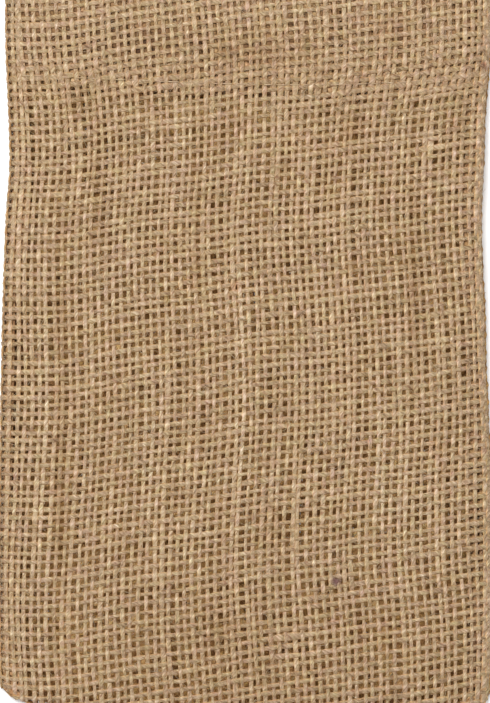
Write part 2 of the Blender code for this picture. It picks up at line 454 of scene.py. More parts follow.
def fold_relief(across, along):
    """Sum of the folds: height exp(-(offset / half width)^2), faded in and out along each."""
    relief = np.zeros_like(across)
    for low_across, high_across, height, half_width, start, end in FRONT_FOLDS:
        share = np.clip((along - start) / (end - start), 0, 1)
        line = low_across + (high_across - low_across) * share
        offset = (across - line) * HALF_WIDTH / half_width
        fade = smoothstep((along - start) / FOLD_FADE) * smoothstep((end - along) / FOLD_FADE)
        relief += height * np.exp(-(offset**2)) * fade
    return relief


def cockle(across, along):
    """Small unevenness: half the height times the sum of crossed sine waves of unlike lengths."""
    x = across * HALF_WIDTH
    return (COCKLE_HEIGHT / 2) * sum(
        np.sin(2 * math.pi * (x / length_across + along / length_along) + phase)
        for length_across, length_along, phase in COCKLE_WAVES
    )


def front_layer(across, along):
    """Front: rim + gap + (crown + folds - rim - gap) arch(across) fall(along), each (1 - t^2.2)^0.4."""
    x, y = plan(across, along, 1.0)
    base = rim_height(along) + seam_gap(along)
    crown = hermite(OUTLINE, OUTLINE_COLUMNS, "crown", along)
    arch = (1 - np.abs(across) ** SECTION_POWER) ** SECTION_ROUNDING
    from_slope = np.clip(1 - along / BOTTOM_SLOPE_LENGTH, 0, 1)
    fall = (1 - from_slope**SECTION_POWER) ** SECTION_ROUNDING
    groove_offset = (along - (SACK_LENGTH - HEM_DEPTH)) / STITCH_GROOVE_WIDTH
    groove = STITCH_GROOVE_DEPTH * np.exp(-(groove_offset**2))
    relief = fold_relief(across, along) + cockle(across, along) - groove
    return x, y, base + (crown - base + relief) * arch * fall


def back_layer(across, along):
    """Back: flat on the floor, curled up to the rim, less the seam's gap, in a quarter ellipse."""
    x, y = plan(across, along, 0.0)
    half_width = (
        hermite(OUTLINE, OUTLINE_COLUMNS, "right", along)
        - hermite(OUTLINE, OUTLINE_COLUMNS, "left", along)
    ) / 2
    side_curl = np.clip(1 - (1 - np.abs(across)) * half_width / BACK_EDGE_WIDTH, 0, 1)
    fold_curl = np.clip(1 - along / BACK_EDGE_WIDTH, 0, 1)
    flat_share = np.sqrt(1 - side_curl**2) * np.sqrt(1 - fold_curl**2)
    floor_height = CLOTH_THICKNESS / 2
    rise = rim_height(along) - seam_gap(along) - floor_height
    return x, y, floor_height + rise * (1 - flat_share)


# ---------------------------------------------------------------------------------------------
# The strip's own coordinates: p runs across from its centre line, past the side edges into the seam
# allowances; q runs along it from the bottom fold, positive up the front and negative up the back,
# round the mouth's edge and down the hem inside. On the outer layers both are measured in plan.

EDGE_P = HALF_WIDTH  # the side edge's p
SEAM_TURN_LENGTH = math.pi * SEAM_GAP / 2
SMALL_STEP = 0.0001  # for slopes, by differences
HEM_TURN_POINTS = 24  # of the course round each of the hem's turns,
HEM_INNER_POINTS = 60  # down its inner layer,
HEM_UNDER_POINTS = 12  # and up its raw edge
LEAST_ALONG = 1e-7  # keeps off the bottom fold itself, where front and back meet


def arc_lengths(*coordinates):
    """Length along a path from its first point."""
    steps = np.sqrt(sum(np.diff(c) ** 2 for c in coordinates))
    return np.concatenate([[0.0], np.cumsum(steps)])


def hem_course():
    """The strip's course past the mouth's edge: its length, place along the sack, and depth under the outer
    layer. A half circle, the inner layer down to the stitches, a half circle back, and the raw edge."""
    half_turn = np.linspace(0, math.pi, HEM_TURN_POINTS)
    stitches = SACK_LENGTH - HEM_DEPTH
    inner = np.linspace(SACK_LENGTH, stitches, HEM_INNER_POINTS)
    ease = smoothstep((stitches + HEM_EASE_LENGTH - inner) / HEM_EASE_LENGTH)
    inner_depth = 2 * HEM_TURN_RADIUS + (HEM_LAYER_DEPTH - 2 * HEM_TURN_RADIUS) * ease
    tuck = (HEM_LAYER_DEPTH - HEM_UNDER_DEPTH) / 2
    under = np.linspace(stitches, stitches + HEM_UNDER_LENGTH, HEM_UNDER_POINTS)
    along = np.concatenate([
        SACK_LENGTH + HEM_TURN_RADIUS * np.sin(half_turn),
        inner[1:],
        stitches - tuck * np.sin(half_turn)[1:],
        under[1:],
    ])
    depth = np.concatenate([
        HEM_TURN_RADIUS * (1 - np.cos(half_turn)),
        inner_depth[1:],
        HEM_LAYER_DEPTH - tuck * (1 - np.cos(half_turn))[1:],
        np.full(len(under) - 1, HEM_UNDER_DEPTH),
    ])
    return SACK_LENGTH + arc_lengths(along, depth), along, depth


HEM_COURSE = hem_course()
STRIP_END = HEM_COURSE[0][-1]


def along_and_depth(q):
    """Place along the sack and depth under the outer layer of each q."""
    length = np.abs(q)
    along = np.where(length <= SACK_LENGTH, length, np.interp(length, HEM_COURSE[0], HEM_COURSE[1]))
    return along, np.interp(length, HEM_COURSE[0], HEM_COURSE[2], left=0.0)


def beyond_mouth(q):
    """How far a place on the strip is past the mouth's edge."""
    return np.abs(q) - SACK_LENGTH


def outer_point(p, along, front):
    """Point of the front's or the back's outer layer at p across the cloth."""
    across = np.clip(p / EDGE_P, -1, 1)
    along = np.maximum(along, LEAST_ALONG)
    upper = np.stack(front_layer(across, along), axis=-1)
    lower = np.stack(back_layer(across, along), axis=-1)
    return np.where(front[..., None], upper, lower)


def unit(vectors):
    """Vectors divided by their lengths."""
    return vectors / np.maximum(np.linalg.norm(vectors, axis=-1, keepdims=True), 1e-12)


def edge_frame(p, along, front):
    """The outer layer's unit normal, out of the sack, and its unit tangent towards the nearer side edge."""
    inside = np.clip(np.abs(p), 0, EDGE_P - 2 * SMALL_STEP) * np.sign(p)
    step_p = outer_point(inside + SMALL_STEP, along, front) - outer_point(inside - SMALL_STEP, along, front)
    step_a = outer_point(inside, along + SMALL_STEP, front) - outer_point(
        inside, np.maximum(along - SMALL_STEP, 0), front
    )
    normal = unit(np.cross(step_p, step_a)) * np.where(front, 1.0, -1.0)[..., None]
    return normal, unit(step_p) * np.sign(p)[..., None]


def cloth_point(p, q):
    """Point of the strip: the outer layer less depth times its normal. Past the side edge it turns a half
    circle across the seam's gap and runs back inwards under the outer layer, as the seam allowance."""
    front = q >= 0
    along, depth = along_and_depth(q)
    radius = np.maximum(seam_gap(along), LEAST_SEAM_GAP) / 2
    past_edge = np.maximum(np.abs(p) - EDGE_P, 0)
    angle = np.clip(past_edge / (math.pi * radius), 0, 1) * math.pi
    inwards = np.maximum(past_edge - math.pi * radius, 0)
    place = np.sign(p) * np.minimum(np.abs(p), EDGE_P - inwards)
    normal, outwards = edge_frame(place, along, front)
    depth = depth + radius * (1 - np.cos(angle))
    bulge = radius * np.sin(angle)
    return outer_point(place, along, front) - depth[..., None] * normal + bulge[..., None] * outwards


def cloth_frame(p, q):
    """The strip's unit normal, on the side that faces out of the sack on its outer layer, and how far one
    metre of p and of q reaches on it."""
    step_p = (cloth_point(p + SMALL_STEP, q) - cloth_point(p - SMALL_STEP, q)) / (2 * SMALL_STEP)
    step_q = (cloth_point(p, q + SMALL_STEP) - cloth_point(p, q - SMALL_STEP)) / (2 * SMALL_STEP)
    return unit(np.cross(step_p, step_q)), np.linalg.norm(step_p, axis=-1), np.linalg.norm(step_q, axis=-1)


# ---------------------------------------------------------------------------------------------
# The weave: a grid of crossings, and the yarns that run through it.

STEPS_PER_CROSSING = 2


def bells(count, width):
    """Gaussian weights between places, exp(-offset^2 / (2 width^2)), each column's squares adding up to 1."""
    places = np.arange(count)
    weights = np.exp(-((places[:, None] - places[None]) ** 2) / (2 * width**2))
    return weights / np.sqrt((weights**2).sum(axis=0))


def soft_noise(random, yarns, places, reach, reach_over=0.1):
    """Unit noise for each yarn, smooth along it: white noise under a Gaussian `reach` places wide, and
    `reach_over` yarns wide across them."""
    white = random.standard_normal((yarns, places))
    return bells(yarns, reach_over).T @ white @ bells(places, reach)


def warp_drift(p, q):
    """Sideways drift of the warps: the table's columns blended across by smoothsteps, none at the edges."""
    along = along_and_depth(q)[0]
    left, middle, right = (hermite(WARP_DRIFT, DRIFT_COLUMNS, c, along) for c in DRIFT_COLUMNS[1:])
    across = np.clip(p / HALF_WIDTH, -1, 1)
    to_left = smoothstep(-across / DRIFT_PLACE)
    to_right = smoothstep(across / DRIFT_PLACE)
    held = smoothstep((1 - np.abs(across)) / DRIFT_HOLD)
    return held * (middle + (left - middle) * to_left + (right - middle) * to_right)


def weft_climb(p):
    """Climb of the wefts: the running sum of their slopes from the table's left end."""
    places = np.arange(WEFT_SLOPES[0][0], WEFT_SLOPES[-1][0], CLIMB_STEP)
    slopes = hermite(WEFT_SLOPES, SLOPE_COLUMNS, "slope", places)
    return np.interp(p, places + CLIMB_STEP / 2, np.cumsum(slopes) * CLIMB_STEP)


def straightened(p, q):
    """q with the curve of the bottom fold and the sag of the mouth taken off, so that a weft stays straight
    in plan: q less what the plan's y adds to bottom plus along."""
    along = np.minimum(np.abs(q), SACK_LENGTH)
    _, y = plan(np.clip(p / EDGE_P, -1, 1), along, 1.0 * (q > 0))
    return q - (y - BOTTOM_Y - along)


def slip(p, q):
    """Sideways slip of the warps past the mouth's edge, in soft waves; back again in the raw edge; and past
    the bottom fold."""
    waves = HEM_SLIP + HEM_SLIP_WAVE * np.sin(2 * math.pi * p / HEM_SLIP_WAVE_LENGTH + np.sign(q))
    tuck_start = STRIP_END - HEM_UNDER_LENGTH - UNDER_SLIP_LENGTH
    tucked = smoothstep((np.abs(q) - tuck_start) / UNDER_SLIP_LENGTH)
    past_fold = smoothstep((-q - FRONT_TUCK) / BACK_SLIP_LENGTH)
    on_rear = (BACK_SLIP + BACK_SPREAD * p) * past_fold
    return waves * smoothstep(beyond_mouth(q) / HEM_SLIP_LENGTH) + UNDER_SLIP * tucked + on_rear


def warp_places(sizes):
    """p of each warp: even pitches from the centre line, eased near the left edge by a smoothstep, a pitch
    of its own up to each side edge, and even pitches on from there."""
    inner = int((EDGE_P - sizes.warp_pitch / 2) / sizes.warp_pitch + 0.5)
    even = (np.arange(inner) + 0.5) * sizes.warp_pitch
    eased = even - LEFT_EASE * smoothstep((even - LEFT_EASE_START) / (even[-1] - LEFT_EASE_START))
    beyond = sizes.warp_pitch * np.arange(int(sizes.seam_allowance / sizes.warp_pitch) + 1)
    right = np.concatenate([even, even[-1] + RIGHT_EDGE_PITCH + beyond])
    left = np.concatenate([eased, eased[-1] + LEFT_EDGE_PITCH + beyond])
    return np.concatenate([-left[::-1], right])


def crossings(sizes):
    """p and q of every crossing, warps down the rows of the arrays and wefts along them: even pitches, plus
    each yarn's own offset and wander, the warps' drift and the wefts' climb."""
    random = np.random.default_rng(SEED)
    warp_p = warp_places(sizes)
    ends = STRIP_END + FOLD_CROWDING + BOTTOM_EDGE[0][1]
    weft_q = np.arange(-ends - weft_climb(EDGE_P), ends, sizes.weft_pitch)
    warps, wefts = len(warp_p), len(weft_q)
    p = np.repeat(warp_p[:, None], wefts, axis=1)
    q = np.repeat(weft_q[None], warps, axis=0)
    uneven_p = WARP_UNEVEN * random.standard_normal((warps, 1))
    uneven_p = uneven_p + WARP_WANDER * soft_noise(random, warps, wefts, WARP_WANDER_REACH)
    uneven_q = WEFT_UNEVEN * random.standard_normal((wefts, 1))
    uneven_q = uneven_q + WEFT_WANDER * soft_noise(random, wefts, warps, WEFT_WANDER_REACH)
    bands = BAND_SHARE * soft_noise(random, warps, wefts, BAND_REACH, BAND_LENGTH)
    q = q + weft_climb(p) + (uneven_q.T + bands) * sizes.weft_pitch
    q = straightened(p, q)
    below = 1 - np.clip(q / LOW_LENGTH, 0, 1)
    q = q - LOW_SPREAD * LOW_LENGTH / 2 * below**2 - FOLD_CROWDING * np.tanh(q / FOLD_CROWDING_LENGTH)
    held = smoothstep((EDGE_P - np.abs(p)) / STRAIGHT_EDGE)
    p = p + held * (uneven_p * sizes.warp_pitch + slip(p, q)) + warp_drift(p, q)
    return p, q


def fullness(p, q):
    """How much fuller the yarns lie than on the front, blended by smoothsteps."""
    from_rim = np.abs(p) - (EDGE_P - BACK_RIM_WIDTH)
    by_rim = np.minimum(smoothstep(from_rim / BACK_RIM_FADE) + smoothstep(1 + q / BACK_RIM_WIDTH), 1)
    back = (BACK_FULLNESS - 1 + BACK_RIM_FULLNESS * by_rim) * smoothstep(-q / BACK_FADE)
    hem = (HEM_FULLNESS - 1) * smoothstep(beyond_mouth(q) / HEM_FADE)
    from_tuck = np.abs(q) - (STRIP_END - HEM_UNDER_LENGTH - HEM_FADE)
    hem = hem + (TUCK_FULLNESS - HEM_FULLNESS) * smoothstep(from_tuck / TUCK_FADE)
    over_hem = FRONT_HEM_FULLNESS * smoothstep((q - (SACK_LENGTH - HEM_DEPTH)) / TUCK_FADE)
    seam = (SEAM_FULLNESS - 1) * smoothstep((np.abs(p) - EDGE_P) / SEAM_FADE)
    from_stitches = (np.abs(q) - (SACK_LENGTH - HEM_DEPTH + HEM_STITCH_INSET)) / STITCHED_WIDTH
    stitched = STITCHED_FULLNESS * np.exp(-(from_stitches**2))
    return 1 + np.maximum.reduce([back, hem, seam, over_hem]) + stitched * (q > 0)


def swelling(random, yarns, samples):
    """Thickness of each yarn along its samples, in shares of its own: 1 plus soft noises and slubs."""
    slow = YARN_SWELL * random.standard_normal((yarns, 1))
    slow = slow + SLOW_SWELL * soft_noise(random, yarns, samples, SLOW_SWELL_REACH)
    fine = FINE_SWELL * soft_noise(random, yarns, samples, FINE_SWELL_REACH)
    slubs = np.maximum(soft_noise(random, yarns, samples, SLUB_REACH) - SLUB_THRESHOLD, 0) * SLUB_SHARE
    return 1 + np.clip(slow + fine, *SWELL_LIMITS) + slubs


class Yarns:
    """A set of parallel yarns: their samples' places, lifts, half sizes and shades, one row for each yarn."""

    def __init__(self, p, q, parity, width, sizes, random):
        """Samples on and between the crossings (p, q), lifted at each to the side that its parity gives."""
        yarns, crossed = p.shape
        stations = np.arange(crossed * STEPS_PER_CROSSING - 1) / STEPS_PER_CROSSING
        whole = stations.astype(int)
        part = stations - whole
        after = np.minimum(whole + 1, crossed - 1)
        self.p = p[:, whole] * (1 - part) + p[:, after] * part
        self.q = q[:, whole] * (1 - part) + q[:, after] * part
        on_crossing = part == 0
        side = np.where((np.arange(yarns)[:, None] + whole[None]) % 2 == 0, 1.0, -1.0) * parity
        swell = swelling(random, yarns, len(stations))
        self.normals, stretch_p, stretch_q = cloth_frame(self.p, self.q)
        stretch = np.clip(stretch_p if parity > 0 else stretch_q, *STRETCH_LIMITS)
        full = fullness(self.p, self.q)
        spread = swell * full * stretch * np.where(on_crossing, CROWN_WIDTH, HOLLOW_WIDTH)
        self.half_width = width / 2 * spread
        self.half_height = sizes.yarn_thickness / 2 * (1 + SWELL_IN_HEIGHT * (swell - 1)) / np.sqrt(full)
        # crowns lighter, worn and a painted highlight; between crossings darker, painted shade
        self.shade = np.where(on_crossing, CROWN_WEAR_AND_HIGHLIGHT + CROWN_CONTRAST * parity, HOLLOW_PAINTED_SHADE)
        self.inner_shade = self.shade_inside(yarns, len(stations))
        lift = np.where(on_crossing, side * sizes.crimp, 0.0) / np.sqrt(full)
        self.points = cloth_point(self.p, self.q) + self.normals * lift[..., None]

    def shade_inside(self, yarns, samples):
        """Shade of the yarns' inner side, painted light and shade where it shows through the front's holes:
        paler on the back and in the hem, by smooth noise.
        """
        random = np.random.default_rng(SEED + 7)
        uneven = INSIDE_UNEVEN * soft_noise(random, yarns, samples, INSIDE_UNEVEN_REACH)
        inner = smoothstep(np.maximum(-self.q, beyond_mouth(self.q)) / TUCK_FADE)
        return 1 + inner * np.clip(INSIDE_PAINTED_LIGHTENING + uneven, *INSIDE_LIMITS)

    def place(self):
        """p and q at the middle of each segment between samples."""
        return (self.p[:, 1:] + self.p[:, :-1]) / 2, (self.q[:, 1:] + self.q[:, :-1]) / 2


def make_yarns(sizes):
    """All warps and all wefts of the strip."""
    p, q = crossings(sizes)
    random = np.random.default_rng(SEED + 1)
    warps = Yarns(p, q, 1.0, sizes.warp_width, sizes, random)
    wefts = Yarns(p.T, q.T, -1.0, sizes.weft_width, sizes, random)
    return warps, wefts


def on_face(p, q):
    """True on the outer layers, up to the middle of the turns at the side edges."""
    return (beyond_mouth(q) < HEM_TURN_RADIUS) & (np.abs(p) <= EDGE_P + SEAM_TURN_LENGTH / 2)


def on_front(p, q):
    """True on the front, round the bottom fold, and a little way under."""
    return on_face(p, q) & (q >= -FRONT_TUCK)


def on_back(p, q):
    """True on the rest of the outer layers, under the sack."""
    return on_face(p, q) & (q < -FRONT_TUCK)


def in_hem(p, q):
    """True on the hem's turn, inner layer and tucked raw edge, which end at the side edges."""
    return (beyond_mouth(q) >= HEM_TURN_RADIUS) & (np.abs(p) <= EDGE_P) & (np.abs(q) <= STRIP_END)


def in_seam(p, q):
    """True in the seam allowances: wide low down on the right, and trimmed short under the hem."""
    past_edge = np.abs(p) - EDGE_P
    wide = (p > 0) & (np.abs(q) < WIDE_ALLOWANCE_END)
    reach = SEAM_TURN_LENGTH + np.where(wide, WIDE_ALLOWANCE, NARROW_ALLOWANCE)
    reach = np.where(beyond_mouth(q) < -HEM_DEPTH, reach, SEAM_TURN_LENGTH + HEM_ALLOWANCE)
    return (past_edge > SEAM_TURN_LENGTH / 2) & (past_edge < reach) & (beyond_mouth(q) < 0)


# ---------------------------------------------------------------------------------------------
# Meshes


def patched(x, y, patches):
    """1 plus each patch's lightness times its bell, exp(-(x offset / half width)^2 - the same for y)."""
    lightness = np.ones_like(x)
    for centre_x, centre_y, half_width, half_height, lighter in patches:
        bell = np.exp(-(((x - centre_x) / half_width) ** 2) - ((y - centre_y) / half_height) ** 2)
        lightness += lighter * bell
    return lightness


def tints(points, inner_shade=1.0, turned_in=False):
    """Colour that the yarns' own is multiplied by: the patches, and the painted light and shade of the hem's
    layers or of the back's inner side, where they show through the front's holes, each deepened by its
    powers; then drawn to the marks' colours by flat-topped bells, on the front alone."""
    x, y, z = np.moveaxis(points, -1, 0)
    # painted light and shade on the cloth that shows through the front's holes
    inside = turned_in | (z > CLOTH_THICKNESS / 2) & (z < INSIDE_TOP) & (np.abs(x) < INSIDE_REACH)
    painted_inner_patches = HEM_PAINTED_LIGHT_AND_SHADE_PATCHES if turned_in else INSIDE_PAINTED_LIGHT_PATCHES
    inner = np.where(inside, inner_shade * patched(x, y, painted_inner_patches), 1.0)
    outer = patched(x, y, PATCHES)
    tint = outer[..., None] ** np.array(PATCH_DEEPENING) * inner[..., None] ** np.array(DEEPENING)
    plain = np.array(linear(PLAIN_JUTE))
    for centre_x, centre_y, radius, colour, strength in MARKS:
        distance = np.hypot(x - centre_x, y - centre_y) / radius
        share = strength * np.exp(-(distance**4)) * (z > MARK_FLOOR)
        tint += (np.array(linear(colour)) / plain - tint) * share[..., None]
    return tint


def rings(points, normals, half_width, half_height, sides):
    """Flattened tubes: for each sample, point + across cos(angle) half width + up sin(angle) half height."""
    ahead = np.gradient(points, axis=1)
    across = unit(np.cross(ahead, normals))
    up = unit(np.cross(across, ahead))
    angle = 2 * math.pi * np.arange(sides) / sides
    return (
        points[:, :, None]
        + across[:, :, None] * (np.cos(angle) * half_width[..., None])[..., None]
        + up[:, :, None] * (np.sin(angle) * half_height[..., None])[..., None]
    )


TURN_SHARE = 0.998  # keeps a yarn's UVs inside its own number
CAP_LENGTH = 0.0004  # half sizes of an end cap in the map `yarn`
CAP_TURN = 0.4
BAKE_INSET = 0.002  # of the strips from the ends of the unit square
BAKE_MARGIN = 0.06  # between strips, in shares of one
BAKE_CAP = (0.001, 0.2)


def quad_uvs(first, second, low, high):
    """UVs of quads whose corners run first-low, second-low, second-high, first-high."""
    corners = [(first, low), (second, low), (second, high), (first, high)]
    return np.stack([np.stack(np.broadcast_arrays(u, v), axis=-1) for u, v in corners], axis=-2)


def cap_uvs(u, v, order, sides, reach_u, reach_v):
    """UVs of end caps: small ellipses round (u, v)."""
    turn = 2 * math.pi * order / sides
    return np.stack([u[:, None] + reach_u * np.cos(turn), v[:, None] + reach_v * np.sin(turn)], axis=-1)


def yarn_uvs(lengths, walls, starts, ends, sides):
    """UV map `yarn`: the length along a row in metres, and the row's number plus the turn round it."""
    row, segment = walls
    k = np.arange(sides)
    low = row[:, None] + TURN_SHARE * k / sides
    high = row[:, None] + TURN_SHARE * (k + 1) / sides
    first, second = lengths[row, segment][:, None], lengths[row, segment + 1][:, None]
    start_length, end_length = lengths[starts], lengths[ends[0], ends[1] + 1]
    return [
        quad_uvs(first, second, low, high),
        cap_uvs(start_length, starts[0] + 0.5, k, sides, CAP_LENGTH, CAP_TURN),
        cap_uvs(end_length, ends[0] + 0.5, k[::-1], sides, CAP_LENGTH, CAP_TURN),
    ]


def bake_uvs(kept, walls, starts, ends, sides):
    """UV map `OFBake`: each row that is kept laid out as one strip of the unit square."""
    row, segment = walls
    k = np.arange(sides)
    place = np.cumsum(kept, axis=1) - 1
    strips, strip = np.unique(row, return_inverse=True)
    cell = (1 - 2 * BAKE_INSET) / (place.max() + 1)
    within = 1 - 2 * BAKE_MARGIN
    low = (strip[:, None] + BAKE_MARGIN + within * k / sides) / len(strips)
    high = (strip[:, None] + BAKE_MARGIN + within * (k + 1) / sides) / len(strips)
    first = BAKE_INSET + cell * place[row, segment][:, None]
    start_strip, end_strip = ((np.searchsorted(strips, cut[0]) + 0.5) / len(strips) for cut in (starts, ends))
    start_place = BAKE_INSET + cell * place[starts]
    end_place = BAKE_INSET + cell * (place[ends] + 1)
    reach_u, reach_v = BAKE_CAP[0], BAKE_CAP[1] / len(strips)
    return [
        quad_uvs(first, first + cell, low, high),
        cap_uvs(start_place, start_strip, k, sides, reach_u, reach_v),
        cap_uvs(end_place, end_strip, k[::-1], sides, reach_u, reach_v),
    ]


def tube_mesh(name, points, lengths, tint, kept, sides, material):
    """Closed tubes through the kept segments of rows of rings, with a tint for each point: quads from ring to
    ring, and a cap at each end of a run of kept segments."""
    count, samples = points.shape[:2]
    points = np.concatenate([points[..., :2], np.maximum(points[..., 2:], FLOOR_GAP)], axis=-1)
    ring_start = np.arange(count * samples).reshape(count, samples) * sides
    k = np.arange(sides)
    walls = row, segment = np.nonzero(kept)
    padded = np.pad(kept, ((0, 0), (1, 1)))
    starts = np.nonzero(padded[:, 1:-1] & ~padded[:, :-2])
    ends = np.nonzero(padded[:, 1:-1] & ~padded[:, 2:])
    first = ring_start[row, segment][:, None]
    second = ring_start[row, segment + 1][:, None]
    quads = np.stack([first + k, second + k, second + (k + 1) % sides, first + (k + 1) % sides], axis=-1)
    start_caps = ring_start[starts][:, None] + k
    end_caps = ring_start[ends[0], ends[1] + 1][:, None] + k[::-1]
    corners = np.concatenate([quads.reshape(-1), start_caps.reshape(-1), end_caps.reshape(-1)])
    sizes = np.concatenate([np.full(quads.size // 4, 4), np.full(len(start_caps) + len(end_caps), sides)])
    maps = (yarn_uvs(lengths, walls, starts, ends, sides), bake_uvs(kept, walls, starts, ends, sides))
    uvs = [np.concatenate([part.reshape(-1, 2) for part in parts]) for parts in maps]
    return add_mesh(name, points.reshape(-1, 3), tint.reshape(-1, 3), corners, sizes, uvs, material)


def add_mesh(name, points, tints, corners, sizes, uvs, material):
    """A smooth mesh piece of polygons: their corners in one row, and each one's number of corners."""
    used, corners = np.unique(corners, return_inverse=True)
    mesh = bpy.data.meshes.new(name)
    mesh.vertices.add(len(used))
    mesh.vertices.foreach_set("co", points[used].ravel())
    mesh.loops.add(len(corners))
    mesh.loops.foreach_set("vertex_index", corners.ravel().astype(np.int32))
    mesh.polygons.add(len(sizes))
    starts = np.concatenate([[0], np.cumsum(sizes)[:-1]]).astype(np.int32)
    mesh.polygons.foreach_set("loop_start", starts)
    mesh.update(calc_edges=True)
    for layer, values in zip(("yarn", "OFBake"), uvs):
        mesh.uv_layers.new(name=layer).uv.foreach_set("vector", values.ravel())
    tint = mesh.attributes.new("tint", "FLOAT_VECTOR", "POINT")
    tint.data.foreach_set("vector", tints[used].ravel())
    mesh.validate()
    mesh.shade_smooth()
    mesh.materials.append(material)
    obj = bpy.data.objects.new(name, mesh)
    bpy.context.scene.collection.objects.link(obj)
    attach(obj, BODY)
    return obj


def lengths_along(points):
    """Length along each row of points from its first."""
    steps = np.linalg.norm(np.diff(points, axis=1), axis=-1)
    return np.concatenate([np.zeros((len(points), 1)), np.cumsum(steps, axis=1)], axis=1)


def yarn_mesh(name, yarns, kept, sides, material, colour, turned_in=False):
    """Yarns as flattened tubes of that many sides, where they are kept."""
    ring = rings(yarns.points, yarns.normals, yarns.half_width, yarns.half_height, sides)
    shades = yarns.shade[..., None] ** np.array(DEEPENING) * np.array(colour)
    tint = tints(ring, yarns.inner_shade[..., None], turned_in) * shades[..., None, :]
    return tube_mesh(name, ring, lengths_along(yarns.points), tint, kept, sides, material)


def round_mesh(name, points, normals, radius, shades, sides, material):
    """Rows of points as round tubes, each row of its own shade."""
    ring = rings(points, normals, radius, radius, sides)
    kept = np.ones((len(points), points.shape[1] - 1), dtype=bool)
    tint = tints(ring) * shades[:, None, None, None]
    return tube_mesh(name, ring, lengths_along(points), tint, kept, sides, material)


def fibre_mesh(name, p, q, heading, length, bend, low, high, radius, shades, material):
    """Stray fibres: parabolas on the cloth round place (p, q) on their heading, off it by
    low + (high - low) (t + 1/2)^2, as tubes that thin to their tips by 1 - thinning t^2."""
    t = np.linspace(-0.5, 0.5, STRAY_SAMPLES)
    ahead = length[:, None] * t
    aside = bend[:, None] * length[:, None] * (t**2 - STRAY_CENTRE)
    path_p = p[:, None] + ahead * np.cos(heading)[:, None] - aside * np.sin(heading)[:, None]
    path_q = q[:, None] + ahead * np.sin(heading)[:, None] + aside * np.cos(heading)[:, None]
    normals, _, _ = cloth_frame(path_p, path_q)
    lift = low[:, None] + (high - low)[:, None] * (t + 0.5) ** 2
    points = cloth_point(path_p, path_q) + normals * lift[..., None]
    thickness = radius[:, None] * (1 - STRAY_THINNING * t**2)
    return round_mesh(name, points, normals, thickness, shades, FIBRE_SIDES, material)


def fibres_on(yarns, kept, count, random):
    """Fibres on the yarns' outer side: each keeps to a few samples of one yarn, at a turn round it that
    creeps with the twist, point + across cos(turn) half width + up sin(turn) half height."""
    samples = np.arange(FIBRE_SAMPLES)
    row, first = np.nonzero(kept[:, : 1 - FIBRE_SAMPLES])
    pick = random.integers(len(row), size=count)
    row, sample = row[pick][:, None], first[pick][:, None] + samples
    points, normals = yarns.points[row, sample], yarns.normals[row, sample]
    ahead = unit(np.gradient(points, axis=1))
    across = unit(np.cross(ahead, normals))
    turn = random.uniform(*FIBRE_TURNS, (count, 1)) * math.pi + FIBRE_CREEP * (samples - samples.mean())
    aside = np.cos(turn) * yarns.half_width[row, sample]
    above = np.sin(turn) * yarns.half_height[row, sample] * FIBRE_LIFT
    return points + across * aside[..., None] + np.cross(across, ahead) * above[..., None], normals


def stray_fibres(count, random):
    """The stray fibres' places, headings, lengths, bends, lifts, radii and shades, spread evenly over the
    front but for those at the side edges and on the back. The first few lie together in the first mark."""
    part = random.random(count)
    on_edge, on_rear = part < EDGE_SHARE, part > 1 - REAR_SHARE
    p = random.uniform(-1, 1, count) * (EDGE_P - STRAY_INSET)
    p = np.where(on_edge, np.sign(p) * (EDGE_P - random.uniform(*EDGE_INSETS, count)), p)
    q = random.uniform(STRAY_END_INSET, SACK_LENGTH - STRAY_END_INSET, count) * np.where(on_rear, -1, 1)
    heading = random.uniform(0, 2 * math.pi, count)
    length = STRAY_LENGTH + random.exponential(STRAY_LENGTH_MORE, count)
    length = np.minimum(length * np.where(on_edge, EDGE_LENGTH_SHARE, 1), STRAY_LENGTH_MOST)
    bend = random.normal(0, STRAY_BEND, count)
    low = random.uniform(*STRAY_LIFTS, count)
    high = low + random.exponential(STRAY_RISE, count)
    high = np.minimum(high, np.where(on_rear, REAR_TOP, STRAY_TOP))
    low = np.where(on_rear, np.minimum(low, REAR_LIFT_MOST), low)
    radius = random.uniform(*STRAY_RADII, count)
    shades = random.uniform(*STRAY_SHADES, count)

    tuft = (random.random(count) < TUFT_SHARE) & ~on_edge
    radius = np.where(tuft, radius * TUFT_THICKNESS, radius)
    shades = np.where(tuft, shades * TUFT_SHADE, shades)
    length = np.where(tuft, np.minimum(length, TUFT_LENGTH_MOST), length)
    low = np.where(tuft, TUFT_LIFTS[0], low)
    high = np.where(tuft, TUFT_LIFTS[1], high)

    x, y, reach = MARKS[0][:3]
    in_mark = np.arange(count) < MARK_FIBRES
    p = np.where(in_mark, x + random.normal(0, MARK_SPREAD * reach, count), p)
    q = np.where(in_mark, y - BOTTOM_Y + random.normal(0, MARK_SPREAD * reach, count), q)
    radius = np.where(in_mark, MARK_FIBRE_RADIUS, radius)
    length = np.where(in_mark, MARK_FIBRE_LENGTH, length)
    low = np.where(in_mark, MARK_FIBRE_LIFTS[0], low)
    high = np.where(in_mark, MARK_FIBRE_LIFTS[1], high)
    return {
        "p": p,
        "q": q,
        "heading": heading,
        "length": length,
        "bend": bend,
        "low": low,
        "high": high,
        "radius": radius,
        "shades": shades,
    }


